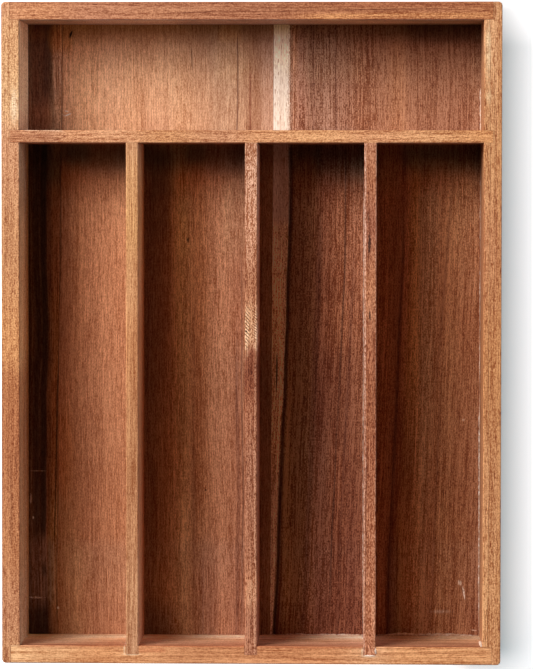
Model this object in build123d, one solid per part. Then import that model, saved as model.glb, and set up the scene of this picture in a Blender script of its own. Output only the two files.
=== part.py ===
from build123d import *
import os

# Cutlery tray for a kitchen drawer, in solid acacia, glued and pinned.
# Two sides and two rails form the frame: the rails' ends sit in rabbets in the sides.
# A cross divider is housed in both sides and leaves one wide compartment at the rear.
# Three long dividers butt against it and are housed in the front rail.
# The floor is three boards, glued edge to edge, in a groove all round the frame.
# Millimetres. X to the right, Y to the rear, Z up. The origin is the centre of the underside.

# Outer size
tray_width = 249.0
tray_length = 330.0
tray_height = 55.0

# Stock
side_thickness = 9.0
rail_thickness = 9.0
cross_thickness = 6.2
divider_thickness = 6.2
floor_thickness = 4.0

# Cuts in the frame
side_cut_depth = 4.7  # rabbets for the rails and housings for the cross divider
rail_cut_depth = 4.4  # housings for the long dividers
groove_depth = 4.0
floor_lift = 3.0  # underside of the floor above the underside of the frame

# Layout
divider_count = 3
rear_compartment_length = 54.7
strip_width_rear = 20.9  # the narrow floor board tapers towards the front
strip_width_front = 17.3
middle_width_rear = 108.2
middle_width_front = 110.0

# Edges
corner_radius = 2.0  # upright outer corners
arris_radius = 0.6  # sanded edges of the rims

# Clearances
glue_line = 0.1
floor_play = 0.5  # room for the floor to swell, at the bottom of each groove
groove_slack = 0.2  # above the floor, in the groove

# Panel pins
pin_radius = 0.6
pin_length = 22.0
pin_sink = 0.5  # pins are punched below the surface
pin_clearance = 0.05
corner_pin_inset = 13.0  # from the rim and from the underside
divider_pin_inset = 12.0  # from the rim and from the floor

# Places that follow from the sizes
outer_x = tray_width / 2
outer_y = tray_length / 2
inner_x = outer_x - side_thickness
inner_y = outer_y - rail_thickness
floor_top = floor_lift + floor_thickness
cross_rear = inner_y - rear_compartment_length
cross_front = cross_rear - cross_thickness
cross_end_x = inner_x + side_cut_depth - glue_line
divider_front = -(inner_y + rail_cut_depth - glue_line)
compartment_width = (2 * inner_x - divider_count * divider_thickness) / (divider_count + 1)
divider_step = compartment_width + divider_thickness
divider_places = [-inner_x - divider_thickness / 2 + divider_step * (i + 1) for i in range(divider_count)]
corner_pin_heights = [corner_pin_inset, tray_height - corner_pin_inset]
divider_pin_heights = [floor_top + divider_pin_inset, tray_height - divider_pin_inset]


def block(x_limits, y_limits, z_limits):
    """A rectangular block between three pairs of limits."""
    size = [high - low for low, high in (x_limits, y_limits, z_limits)]
    centre = [(high + low) / 2 for low, high in (x_limits, y_limits, z_limits)]
    return Pos(*centre) * Box(*size)


def pin(head, direction, extra_radius=0.0, extra_length=0.0):
    """A headless pin that starts at its head and runs inwards; the extras turn it into its hole."""
    radius = pin_radius + extra_radius
    length = pin_length + extra_length
    return Plane(origin=head, z_dir=direction) * Cylinder(radius, length, align=(Align.CENTER, Align.CENTER, Align.MIN))


def pin_set(places, direction):
    """The pins at these surface points, sunk below the surface."""
    sunk = Vector(*direction) * pin_sink
    return [pin(Vector(*place) + sunk, direction) for place in places]


def pin_holes(places, direction):
    """The holes for the pins at these surface points, open to the surface."""
    return [pin(Vector(*place), direction, pin_clearance, pin_sink + pin_clearance) for place in places]


def corner_pin_places(x_side, y_side):
    """Where the pins of one corner enter the side."""
    return [(x_side * outer_x, y_side * (outer_y - rail_thickness / 2), z) for z in corner_pin_heights]


def divider_pin_places(x):
    """Where the pins of one divider enter the cross divider, from the rear compartment."""
    return [(x, cross_rear, z) for z in divider_pin_heights]


def groove_limits():
    """Heights of the groove that holds the floor."""
    return floor_lift, floor_top + groove_slack


def make_right_side():
    """A side with its rabbets, floor groove, housing for the cross divider and pin holes."""
    side = block((inner_x, outer_x), (-outer_y, outer_y), (0, tray_height))
    outer_corners = side.edges().filter_by(Axis.Z).group_by(Axis.X)[-1]
    side = fillet(outer_corners, corner_radius)
    rim_edges = side.faces().sort_by(Axis.Z)[-1].edges()
    foot_edges = side.faces().sort_by(Axis.Z)[0].edges()
    side = fillet(rim_edges + foot_edges, arris_radius)
    cut_x = inner_x + side_cut_depth
    for end in (-1, 1):
        rabbet_y = sorted((end * inner_y, end * (outer_y + rail_thickness)))
        side -= block((inner_x - side_thickness, cut_x), rabbet_y, (-tray_height, 2 * tray_height))
        for hole in pin_holes(corner_pin_places(1, end), (-1, 0, 0)):
            side -= hole
    side -= block((inner_x - side_thickness, inner_x + groove_depth), (-outer_y, outer_y), groove_limits())
    housing_y = (cross_front - glue_line, cross_rear + glue_line)
    side -= block((inner_x - side_thickness, cut_x), housing_y, (-tray_height, 2 * tray_height))
    return side


def make_rear_rail():
    """A rail between the sides, with its floor groove and the pin holes in its ends."""
    y_limits = (inner_y + glue_line, outer_y)
    rail = block((-inner_x, inner_x), y_limits, (0, tray_height))
    rail = fillet(rail.edges().filter_by(Axis.X), arris_radius)
    for end in (-1, 1):
        x_limits = sorted((end * inner_x, end * cross_end_x))
        tenon = block(x_limits, y_limits, (0, tray_height))
        rail += fillet(tenon.edges().filter_by(Axis.X).group_by(Axis.Y)[-1], arris_radius)
    rail -= block((-outer_x, outer_x), (inner_y - rail_thickness, inner_y + groove_depth), groove_limits())
    for end in (-1, 1):
        for hole in pin_holes(corner_pin_places(end, 1), (-end, 0, 0)):
            rail -= hole
    return rail


def make_front_rail():
    """The rear rail's mirror image, with a housing for each long divider."""
    rail = mirror(make_rear_rail(), about=Plane.XZ)
    half_width = divider_thickness / 2 + glue_line
    for x in divider_places:
        housing_y = (-inner_y - rail_cut_depth, -inner_y + rail_thickness)
        rail -= block((x - half_width, x + half_width), housing_y, (-tray_height, 2 * tray_height))
    return rail


def make_cross_divider():
    """The cross divider: its top edges are eased in the open and square where pieces join it."""
    y_limits = (cross_front, cross_rear)
    z_limits = (floor_top, tray_height)
    joined = [(-cross_end_x, -inner_x)]
    joined += [(x - divider_thickness / 2, x + divider_thickness / 2) for x in divider_places]
    joined += [(inner_x, cross_end_x)]
    divider = None
    for (_, open_start), (open_end, _) in zip(joined, joined[1:]):
        span = block((open_start, open_end), y_limits, z_limits)
        top_edges = span.edges().filter_by(Axis.X).group_by(Axis.Z)[-1]
        span = fillet(top_edges, arris_radius)
        divider = span if divider is None else divider + span
    for x_limits in joined[1:-1]:
        span = block(x_limits, y_limits, z_limits)
        rear_top_edge = span.edges().filter_by(Axis.X).group_by(Axis.Z)[-1].sort_by(Axis.Y)[-1]
        divider += fillet(rear_top_edge, arris_radius)
    for x_limits in (joined[0], joined[-1]):
        divider += block(x_limits, y_limits, z_limits)
    for x in divider_places:
        for hole in pin_holes(divider_pin_places(x), (0, -1, 0)):
            divider -= hole
    return divider


def make_long_divider(x):
    """A divider from the cross divider to the bottom of its housing in the front rail."""
    x_limits = (x - divider_thickness / 2, x + divider_thickness / 2)
    z_limits = (floor_top, tray_height)
    divider = block(x_limits, (-inner_y, cross_front - glue_line), z_limits)
    divider = fillet(divider.edges().filter_by(Axis.Y).group_by(Axis.Z)[-1], arris_radius)
    divider += block(x_limits, (divider_front, -inner_y), z_limits)
    for hole in pin_holes(divider_pin_places(x), (0, -1, 0)):
        divider -= hole
    return divider


def make_floor_boards():
    """Three boards, edge to edge, from the bottom of one groove to the bottom of the other."""
    edge_x = inner_x + groove_depth - floor_play
    edge_y = inner_y + groove_depth - floor_play
    seams_rear = [-edge_x + strip_width_rear, -edge_x + strip_width_rear + middle_width_rear]
    seams_front = [-edge_x + strip_width_front, -edge_x + strip_width_front + middle_width_front]
    lines = [(-edge_x, -edge_x)] + list(zip(seams_rear, seams_front)) + [(edge_x, edge_x)]
    boards = []
    for i in range(len(lines) - 1):
        left_gap = glue_line / 2 if i > 0 else 0.0
        right_gap = glue_line / 2 if i < len(lines) - 2 else 0.0
        (left_rear, left_front), (right_rear, right_front) = lines[i], lines[i + 1]
        outline = [
            (left_front + left_gap, -edge_y),
            (right_front - right_gap, -edge_y),
            (right_rear - right_gap, edge_y),
            (left_rear + left_gap, edge_y),
        ]
        face = make_face(Polyline(*outline, close=True))
        boards.append(Pos(0, 0, floor_lift) * extrude(face, amount=floor_thickness, dir=(0, 0, 1)))
    return boards


def make_corner_pins():
    """Pins through the sides into the ends of the rails."""
    pins = []
    for x_side in (-1, 1):
        for y_side in (-1, 1):
            pins += pin_set(corner_pin_places(x_side, y_side), (-x_side, 0, 0))
    return Compound(children=[part.solid() for part in pins])


def make_divider_pins():
    """Pins through the cross divider into the ends of the long dividers."""
    pins = []
    for x in divider_places:
        pins += pin_set(divider_pin_places(x), (0, -1, 0))
    return Compound(children=[part.solid() for part in pins])


right_side = make_right_side()
pieces = {
    "left_side": mirror(right_side, about=Plane.YZ),
    "right_side": right_side,
    "rear_rail": make_rear_rail(),
    "front_rail": make_front_rail(),
    "cross_divider": make_cross_divider(),
    "corner_pins": make_corner_pins(),
    "divider_pins": make_divider_pins(),
}
for name, x in zip(("left_divider", "middle_divider", "right_divider"), divider_places):
    pieces[name] = make_long_divider(x)
for name, board in zip(("floor_strip_left", "floor_board_middle", "floor_board_right"), make_floor_boards()):
    pieces[name] = board

os.makedirs("parts", exist_ok=True)
for name, piece in pieces.items():
    export_step(piece, f"parts/{name}.step")
print(f"long compartments {compartment_width:.1f} wide, {cross_front + inner_y:.1f} long")
print(f"rear compartment {2 * inner_x:.1f} wide, {rear_compartment_length:.1f} long")
print(f"depth {tray_height - floor_top:.1f}")
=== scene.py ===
import math
import random

import bmesh
import bpy
from mathutils import Matrix, Vector


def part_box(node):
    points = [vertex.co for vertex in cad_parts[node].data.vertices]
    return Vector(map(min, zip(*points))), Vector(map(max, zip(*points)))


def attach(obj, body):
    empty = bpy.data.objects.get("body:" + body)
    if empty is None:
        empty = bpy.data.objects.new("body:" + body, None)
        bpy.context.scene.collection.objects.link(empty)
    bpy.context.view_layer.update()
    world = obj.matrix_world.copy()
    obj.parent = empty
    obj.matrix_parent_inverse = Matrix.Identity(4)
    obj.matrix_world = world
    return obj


# Wooden cutlery tray, glued up from thin acacia boards, seen from straight above.
# The boards are the frame's own nodes. This script gives them their wood, and adds the
# putty over the pins and the dried glue in the corners. Sizes are in millimetres.

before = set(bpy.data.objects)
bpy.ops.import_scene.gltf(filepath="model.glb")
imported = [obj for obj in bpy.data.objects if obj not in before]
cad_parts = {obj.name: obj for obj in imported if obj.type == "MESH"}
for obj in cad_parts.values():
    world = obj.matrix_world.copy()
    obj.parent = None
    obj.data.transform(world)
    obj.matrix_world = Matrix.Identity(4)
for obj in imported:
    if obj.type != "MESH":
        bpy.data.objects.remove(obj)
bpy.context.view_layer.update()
millimetre = 0.001


def toLinear(hexColour):
    # sRGB hex to linear, for every colour below
    channels = [int(hexColour[i:i + 2], 16) / 255 for i in (1, 3, 5)]
    return [c / 12.92 if c <= 0.04045 else ((c + 0.055) / 1.055) ** 2.4 for c in channels] + [1.0]


def addNode(tree, kind, settings=None, inputs=None):
    # one node, its settings, and its inputs: sockets are linked, anything else is set
    node = tree.nodes.new(kind)
    for key, value in (settings or {}).items():
        setattr(node, key, value)
    for key, value in (inputs or {}).items():
        if isinstance(value, bpy.types.NodeSocket):
            tree.links.new(value, node.inputs[key])
        else:
            node.inputs[key].default_value = value
    return node


# Acacia, planed, sanded and oiled. To the eye it is a satin orange brown with fine dark lines
# along the grain, short open pores, a faint ripple across it, and broad growth bands.
# "across" and "along" are the cell sizes of each layer of the grain in millimetres.
# Real fibres are finer than a pixel here, so they are drawn about a third of a millimetre wide.
grain = {
    "figure": {"across": 5.5, "along": 200.0, "depth": 6.0, "amount": 0.40, "detail": 2.0},
    "streak": {"across": 1.3, "along": 80.0, "depth": 2.0, "amount": 0.42, "detail": 1.5},
    "line": {"across": 0.34, "along": 26.0, "depth": 0.8, "amount": 0.72, "detail": 1.0},
    "fleck": {"across": 0.34, "along": 4.0, "depth": 0.6, "amount": 0.55, "detail": 0.0},
    "speckle": {"across": 0.36, "along": 1.0, "depth": 0.5, "amount": 0.80, "detail": 0.0},
    "ripple": {"across": 1.3, "along": 0.5, "depth": 1.3, "amount": 0.34, "detail": 0.0},
}
grainTint = {"dark": (0.55, 0.35, 0.21), "light": (1.42, 1.61, 1.74)}
pores = {"across": 0.38, "along": 3.2, "depth": 0.45, "from": 0.61, "to": 0.70, "tint": (0.50, 0.30, 0.20)}
woodSurface = {"roughness": 0.55, "ior": 1.3, "bump": 0.012, "bumpStrength": 0.35}


def cellPlace(tree, place, sizes, seed, turn=0.0):
    # the place on the board, counted in cells of this size, turned from the grain by so many degrees
    inputs = {"Vector": place, "Location": (seed * 173.1, seed * 57.7, seed * 31.9), "Scale": sizes}
    inputs["Rotation"] = (0.0, 0.0, math.radians(turn))
    return addNode(tree, "ShaderNodeMapping", {"vector_type": "TEXTURE"}, inputs).outputs[0]


def boardPlace(tree, wood):
    # millimetres across the grain, along it, and up, with the grain's slow sway and its lean
    coords = addNode(tree, "ShaderNodeTexCoord").outputs["Object"]
    scaled = addNode(tree, "ShaderNodeVectorMath", {"operation": "SCALE"}, {0: coords, "Scale": 1 / millimetre})
    axes = addNode(tree, "ShaderNodeSeparateXYZ", None, {0: scaled.outputs[0]}).outputs
    across, along = (axes[0], axes[1]) if wood["grain"] == "Y" else (axes[1], axes[0])
    flat = addNode(tree, "ShaderNodeCombineXYZ", None, {0: across, 1: along, 2: axes[2]}).outputs[0]
    cells = cellPlace(tree, flat, (45.0, 80.0, 45.0), wood["seed"])
    wander = addNode(tree, "ShaderNodeTexNoise", None, {"Vector": cells, "Scale": 1.0, "Detail": 2.0})
    sway = wood.get("sway", 0.6)
    limits = {"Value": wander.outputs[0], "From Min": 0.3, "From Max": 0.7, "To Min": -sway, "To Max": sway}
    shift = addNode(tree, "ShaderNodeMapRange", {"clamp": False}, limits).outputs[0]
    swayed = addNode(tree, "ShaderNodeMath", {"operation": "ADD"}, {0: across, 1: shift}).outputs[0]
    if "lean" in wood:
        front, rear = wood["lean"]["along"]
        reach = {"Value": along, "From Min": front, "From Max": rear, "To Max": 0.0}
        reach["To Min"] = wood["lean"]["slope"] * (rear - front)
        lean = addNode(tree, "ShaderNodeMapRange", None, reach).outputs[0]
        swayed = addNode(tree, "ShaderNodeMath", {"operation": "ADD"}, {0: swayed, 1: lean}).outputs[0]
    place = addNode(tree, "ShaderNodeCombineXYZ", None, {0: swayed, 1: along, 2: axes[2]}).outputs[0]
    return {"place": place, "across": swayed, "along": along, "height": axes[2], "straight": across}


def colourRun(tree, stations, source):
    # the board's own colour, from one hex to the next along or across it
    low, high = stations[0][0], stations[-1][0]
    share = addNode(tree, "ShaderNodeMapRange", None, {"Value": source, "From Min": low, "From Max": high})
    ramp = addNode(tree, "ShaderNodeValToRGB", None, {0: share.outputs[0]})
    ramp.color_ramp.interpolation = "EASE"
    points = ramp.color_ramp.elements
    while len(points) < len(stations):
        points.new(0.5)
    for i, (station, hexColour) in enumerate(stations):
        points[i].position = (station - low) / (high - low)
        points[i].color = toLinear(hexColour)
    return ramp.outputs[0]


def boardColour(tree, wood, at):
    # under the cross divider a floor board goes over to the colours of its rear end
    source = at["along"] if wood.get("coloursRun", "along") == "along" else at["across"]
    colour = colourRun(tree, wood["colours"], source)
    if "rearColours" in wood:
        low, high, soft = rearEnd["along"]
        rear = between(tree, at["along"], low, high, soft)
        inputs = {0: rear, 6: colour, 7: colourRun(tree, wood["rearColours"], source)}
        colour = addNode(tree, "ShaderNodeMix", {"data_type": "RGBA"}, inputs).outputs[2]
    return colour


def between(tree, value, low, high, soft):
    # 1 where value lies between low and high, easing to 0 over soft at each end
    rise = {"Value": value, "From Min": low - soft / 2, "From Max": low + soft / 2}
    fall = {"Value": value, "From Min": high + soft / 2, "From Max": high - soft / 2}
    settings = {"interpolation_type": "SMOOTHSTEP"}
    up = addNode(tree, "ShaderNodeMapRange", settings, rise).outputs[0]
    down = addNode(tree, "ShaderNodeMapRange", settings, fall).outputs[0]
    return addNode(tree, "ShaderNodeMath", {"operation": "MULTIPLY"}, {0: up, 1: down}).outputs[0]


def windowMask(tree, zone, at):
    # 1 inside the zone's limits, each given as its low end, its high end and how softly it ends
    mask = None
    for key in ("across", "along", "height"):
        if key not in zone:
            continue
        low, high, soft = zone[key]
        side = between(tree, at["straight" if key == "across" else key], low, high, soft)
        if mask is None:
            mask = side
        else:
            mask = addNode(tree, "ShaderNodeMath", {"operation": "MULTIPLY"}, {0: mask, 1: side}).outputs[0]
    return mask


def bandMask(tree, band, at, ragged):
    # a band along the grain: "at" is its middle where the grain crosses the tray's middle
    line = {0: at["along"], 1: -band.get("slant", 0.0), 2: at["across"]}
    moved = addNode(tree, "ShaderNodeMath", {"operation": "MULTIPLY_ADD"}, line).outputs[0]
    half = band["width"] / 2
    mask = between(tree, moved, band["at"] - half, band["at"] + half, band.get("soft", 0.6))
    if "along" in band or "height" in band:
        window = windowMask(tree, {key: band[key] for key in ("along", "height") if key in band}, at)
        mask = addNode(tree, "ShaderNodeMath", {"operation": "MULTIPLY"}, {0: mask, 1: window}).outputs[0]
    strength = {"Value": ragged, "From Min": 0.35, "From Max": 0.6}
    strength["To Min"] = band["strength"] * (1 - band.get("ragged", 0.5))
    strength["To Max"] = band["strength"]
    worn = addNode(tree, "ShaderNodeMapRange", None, strength).outputs[0]
    return addNode(tree, "ShaderNodeMath", {"operation": "MULTIPLY"}, {0: mask, 1: worn}).outputs[0]


def patchMask(tree, patch, at, ragged):
    # a soft spot of this many millimetres across and along the grain
    across, along = patch["at"]
    wide, long = patch["size"]
    inputs = {"Vector": at["place"], "Location": (across, along, 0.0), "Scale": (wide / 2, long / 2, 1e6)}
    inputs["Rotation"] = (0.0, 0.0, math.radians(patch.get("turn", 0.0)))
    turned = addNode(tree, "ShaderNodeMapping", {"vector_type": "TEXTURE"}, inputs).outputs[0]
    reach = addNode(tree, "ShaderNodeVectorMath", {"operation": "LENGTH"}, {0: turned}).outputs["Value"]
    rough = patch.get("ragged", 0.6)
    edge = {0: ragged, 1: rough, 2: reach}
    reach = addNode(tree, "ShaderNodeMath", {"operation": "MULTIPLY_ADD"}, edge).outputs[0]
    soft = patch.get("soft", 0.5)
    limits = {"Value": reach, "From Min": 1 + rough / 2 + soft, "From Max": 1 + rough / 2 - soft}
    limits["To Max"] = patch["strength"]
    mask = addNode(tree, "ShaderNodeMapRange", {"interpolation_type": "SMOOTHSTEP"}, limits).outputs[0]
    if "height" in patch:
        window = windowMask(tree, {"height": patch["height"]}, at)
        mask = addNode(tree, "ShaderNodeMath", {"operation": "MULTIPLY"}, {0: mask, 1: window}).outputs[0]
    return mask


def strokeMask(tree, strokes, at, mask):
    # slanting strokes, where the cut runs across interlocked grain
    line = {0: at["across"], 1: strokes["slope"], 2: at["along"]}
    moved = addNode(tree, "ShaderNodeMath", {"operation": "MULTIPLY_ADD"}, line).outputs[0]
    phase = {0: moved, 1: 2 * math.pi / strokes["period"]}
    turned = addNode(tree, "ShaderNodeMath", {"operation": "MULTIPLY"}, phase).outputs[0]
    wave = addNode(tree, "ShaderNodeMath", {"operation": "SINE"}, {0: turned}).outputs[0]
    share = addNode(tree, "ShaderNodeMapRange", None, {"Value": wave, "From Min": 0.0, "From Max": 0.9}).outputs[0]
    return addNode(tree, "ShaderNodeMath", {"operation": "MULTIPLY"}, {0: mask, 1: share}).outputs[0]


def grainTone(tree, wood, at):
    # the layers of the grain added up, round 0, and each layer for what else needs it
    layers = {}
    tone = None
    for i, (layer, size) in enumerate(grain.items()):
        turn = wood.get("rippleTurn", 0.0) if layer == "ripple" else 0.0
        sizes = (size["across"], size["along"], size["depth"])
        cells = cellPlace(tree, at["place"], sizes, wood["seed"] + i, turn)
        inputs = {"Vector": cells, "Scale": 1.0, "Detail": size["detail"], "Roughness": 0.55}
        layers[layer] = addNode(tree, "ShaderNodeTexNoise", None, inputs).outputs[0]
        amount = size["amount"] * wood.get("amounts", {}).get(layer, 1.0)
        limits = {"Value": layers[layer], "From Min": 0.0, "From Max": 1.0, "To Min": -amount, "To Max": amount}
        share = addNode(tree, "ShaderNodeMapRange", {"clamp": False}, limits).outputs[0]
        if tone is None:
            tone = share
        else:
            tone = addNode(tree, "ShaderNodeMath", {"operation": "ADD"}, {0: tone, 1: share}).outputs[0]
    return tone, layers


def acaciaWood(name, wood):
    material = bpy.data.materials.new(name)
    material.use_nodes = True
    tree = material.node_tree
    tree.nodes.clear()
    at = boardPlace(tree, wood)
    tone, layers = grainTone(tree, wood, at)
    colour = boardColour(tree, wood, at)
    marks = [(bandMask(tree, band, at, layers["streak"]), band) for band in wood.get("bands", [])]
    marks += [(patchMask(tree, patch, at, layers["speckle"]), patch) for patch in wood.get("patches", [])]
    for mask, mark in marks:
        if "strokes" in mark:
            mask = strokeMask(tree, mark["strokes"], at, mask)
        inputs = {0: mask, 6: colour, 7: toLinear(mark["colour"])}
        colour = addNode(tree, "ShaderNodeMix", {"data_type": "RGBA"}, inputs).outputs[2]
        if "calm" in mark:
            calm = addNode(tree, "ShaderNodeMapRange", None, {"Value": mask, "To Min": 1.0, "To Max": 1 - mark["calm"]})
            tone = addNode(tree, "ShaderNodeMath", {"operation": "MULTIPLY"}, {0: tone, 1: calm.outputs[0]}).outputs[0]

    for zone in wood.get("contrasts", []):
        limits = {"Value": windowMask(tree, zone, at), "To Min": 1.0, "To Max": zone["gain"]}
        gain = addNode(tree, "ShaderNodeMapRange", None, limits).outputs[0]
        tone = addNode(tree, "ShaderNodeMath", {"operation": "MULTIPLY"}, {0: tone, 1: gain}).outputs[0]
    level = {0: tone, 1: wood.get("contrast", 1.0), 2: 0.5}
    shade = addNode(tree, "ShaderNodeMath", {"operation": "MULTIPLY_ADD", "use_clamp": True}, level).outputs[0]
    cells = cellPlace(tree, at["place"], (pores["across"], pores["along"], pores["depth"]), wood["seed"] + 9)
    specks = addNode(tree, "ShaderNodeTexNoise", None, {"Vector": cells, "Scale": 1.0, "Detail": 0.0}).outputs[0]
    limits = {"Value": specks, "From Min": pores["from"], "From Max": pores["to"], "To Max": wood.get("pores", 0.6)}
    open_ = addNode(tree, "ShaderNodeMapRange", None, limits).outputs[0]
    tints = [(grainTint["dark"], grainTint["light"], shade), ((1.0, 1.0, 1.0), pores["tint"], open_)]
    # each zone tints the colour: most are painted light and shade, such as the walls' shadows on the floor and paler
    # inner faces, and the rest follow the wood's own tone
    for tintZone in wood.get("paintedLightAndTone", []):
        tints.append(((1.0, 1.0, 1.0), tintZone["tint"], windowMask(tree, tintZone, at)))
    for plain, full, share in tints:
        tint = addNode(tree, "ShaderNodeMix", {"data_type": "VECTOR"}, {0: share, 4: plain, 5: full}).outputs[1]
        colour = addNode(tree, "ShaderNodeVectorMath", {"operation": "MULTIPLY"}, {0: colour, 1: tint}).outputs[0]

    height = addNode(tree, "ShaderNodeMath", {"operation": "SUBTRACT"}, {0: tone, 1: open_}).outputs[0]
    inputs = {"Strength": woodSurface["bumpStrength"], "Distance": woodSurface["bump"] * millimetre, "Height": height}
    bump = addNode(tree, "ShaderNodeBump", None, inputs).outputs[0]
    limits = {"Value": shade, "To Min": woodSurface["roughness"] + 0.1, "To Max": woodSurface["roughness"] - 0.08}
    satin = addNode(tree, "ShaderNodeMapRange", None, limits).outputs[0]
    inputs = {"Base Color": colour, "Roughness": satin, "IOR": woodSurface["ior"], "Normal": bump}
    surface = addNode(tree, "ShaderNodeBsdfPrincipled", None, inputs).outputs[0]
    addNode(tree, "ShaderNodeOutputMaterial", None, {0: surface})
    return material


def dress(node, material):
    # the CAD board keeps its mesh and takes this material
    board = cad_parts[node]
    board.data.materials.clear()
    board.data.materials.append(material)


# Frame: two sides and two rails. Their rims are edge grain with a fine ripple. The faces inside the
# tray carry painted light and shade: most are made paler and greyer and evened out from top to
# bottom, and the right side's inner face is painted darker.
leftSide = {
    "grain": "Y", "seed": 1.0, "pores": 0.75,
    "amounts": {"figure": 0.8, "streak": 0.9, "line": 0.75, "fleck": 0.6, "speckle": 0.9, "ripple": 1.15},
    "colours": [(-165, "#ca8e62"), (-140, "#bf8059"), (-105, "#bd7b50"), (-50, "#af6c44"), (-25, "#b37146"),
                (-8, "#cb8b58"), (45, "#bb8055"), (95, "#c68c64"), (115, "#cf9d6e"), (150, "#c79163"),
                (165, "#c38962")],
    "bands": [
        {"at": -119.6, "width": 1.2, "soft": 0.8, "along": (-106, -62, 12), "colour": "#7c3f22", "strength": 0.6},
        {"at": -117.0, "width": 1.0, "soft": 0.8, "along": (-72, -58, 8), "colour": "#7c3f22", "strength": 0.6},
        {"at": -122.5, "width": 2.2, "soft": 1.0, "along": (-165, -157, 3), "colour": "#9a5735", "strength": 0.7},
    ],
    "patches": [{"at": (-118.2, 113), "size": (3.6, 15), "colour": "#f0d2b0", "strength": 0.5, "ragged": 3.0,
                 "soft": 0.3}],
    # painted light and shade: the inner face lightened and greyed, lighter still low down and in the rear compartment,
    # darker near the cross divider and along its top edge; the outer top arris painted darker
    "paintedLightAndTone": [
        {"across": (-116.5, -100, 0.4), "height": (-5, 54.2, 0.5), "tint": (1.12, 1.48, 1.70)},
        {"across": (-116.5, -100, 0.4), "along": (-170, 97, 3), "height": (-5, 28, 6), "tint": (1.08, 1.32, 1.65)},
        {"across": (-116.5, -100, 0.4), "along": (60, 97, 20), "height": (-5, 54.2, 0.5), "tint": (0.8, 0.78, 0.78)},
        {"across": (-116.5, -100, 0.4), "height": (52.0, 54.4, 1.0), "tint": (0.8, 0.72, 0.68)},
        {"across": (-116.5, -100, 0.4), "along": (99, 170, 3), "height": (-5, 54.2, 0.5), "tint": (1.46, 1.34, 1.40)},
        {"across": (-126, -124.0, 0.3), "height": (54.0, 60, 0.4), "tint": (0.8, 0.8, 0.8)},
        {"across": (-116.5, -100, 0.4), "along": (-200, -20, 60), "height": (-5, 54.2, 0.5), "tint": (1.0, 1.14, 1.2)},
    ],
}
rightSide = {
    "grain": "Y", "seed": 2.0, "contrast": 0.94, "pores": 0.85,
    "amounts": {"figure": 0.8, "streak": 0.9, "line": 0.95, "fleck": 0.7, "speckle": 0.75, "ripple": 0.85},
    "colours": [(-165, "#dd9b69"), (-140, "#d99966"), (-80, "#cf8f5f"), (-15, "#c98755"), (45, "#c68458"),
                (90, "#c98b5b"), (110, "#cd9061"), (143, "#d39869"), (155, "#d39869"), (165, "#c2875d")],
    "bands": [
        {"at": 118.4, "width": 0.7, "soft": 0.5, "along": (-165, 165, 8), "colour": "#8a552f", "strength": 0.5,
         "ragged": 1.0},
        {"at": 120.6, "width": 0.7, "soft": 0.5, "along": (-120, 140, 8), "colour": "#8f5a33", "strength": 0.4,
         "ragged": 1.0},
        {"at": 123.4, "width": 2.2, "soft": 0.8, "colour": "#cf905c", "strength": 0.6, "calm": 0.5},
    ],
    "patches": [
        {"at": (117.6, 141), "size": (2.6, 26), "colour": "#eccda0", "strength": 0.4, "ragged": 2.0},
        {"at": (118.0, 118), "size": (3.0, 6), "colour": "#e2b98a", "strength": 0.5, "ragged": 2.0},
    ],
    # the inner face is painted darker and cooler: painted shade
    "paintedLightAndTone": [{"across": (100, 116.4, 0.4), "height": (-5, 54.2, 0.5), "tint": (0.78, 0.78, 0.86)}],
}
rearRail = {
    "grain": "X", "seed": 3.0, "pores": 0.6,
    "amounts": {"figure": 0.8, "streak": 1.2, "line": 1.0, "fleck": 0.6, "speckle": 0.8, "ripple": 1.0},
    "colours": [(-124, "#bd8058"), (-107, "#bb7b52"), (-78, "#ad6f4e"), (-48, "#ae704d"), (0, "#aa6b49"),
                (42, "#a96843"), (86, "#ad6b45"), (124, "#b06d44")],
    "bands": [
        {"at": 157.4, "width": 2.6, "slant": 0.006, "soft": 1.4, "along": (28, 118, 30), "colour": "#d18d58",
         "strength": 0.75, "ragged": 0.3},
        {"at": 160.1, "width": 0.7, "slant": 0.012, "soft": 0.5, "along": (-40, 95, 14), "colour": "#7a3f25",
         "strength": 0.75},
        {"at": 161.6, "width": 0.6, "slant": 0.020, "soft": 0.5, "along": (-10, 70, 14), "colour": "#84462a",
         "strength": 0.6},
        {"at": 158.6, "width": 0.6, "slant": 0.010, "soft": 0.5, "along": (-30, 20, 14), "colour": "#8a4b2e",
         "strength": 0.6},
        {"at": 162.6, "width": 1.6, "slant": 0.004, "soft": 1.2, "along": (40, 118, 20), "colour": "#a55f3d",
         "strength": 0.5},
    ],
    # painted light and shade on the inner face: made much paler and greyer, darker low down, and lighter or darker in
    # stretches along it
    "paintedLightAndTone": [
        {"across": (140, 156.8, 0.4), "height": (-5, 54.2, 0.5), "tint": (1.45, 2.85, 5.3)},
        {"across": (140, 156.8, 0.4), "height": (-5, 20, 12), "tint": (0.78, 0.8, 0.85)},
        {"across": (140, 156.8, 0.4), "along": (-130, -82, 8), "height": (-5, 54.2, 0.5), "tint": (0.9, 0.86, 0.8)},
        {"across": (140, 156.8, 0.4), "along": (-88, -38, 10), "height": (-5, 54.2, 0.5), "tint": (1.34, 1.40, 1.36)},
        {"across": (140, 156.8, 0.4), "along": (76, 130, 20), "height": (-5, 54.2, 0.5), "tint": (0.70, 0.76, 0.80)},
    ],
}
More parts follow.
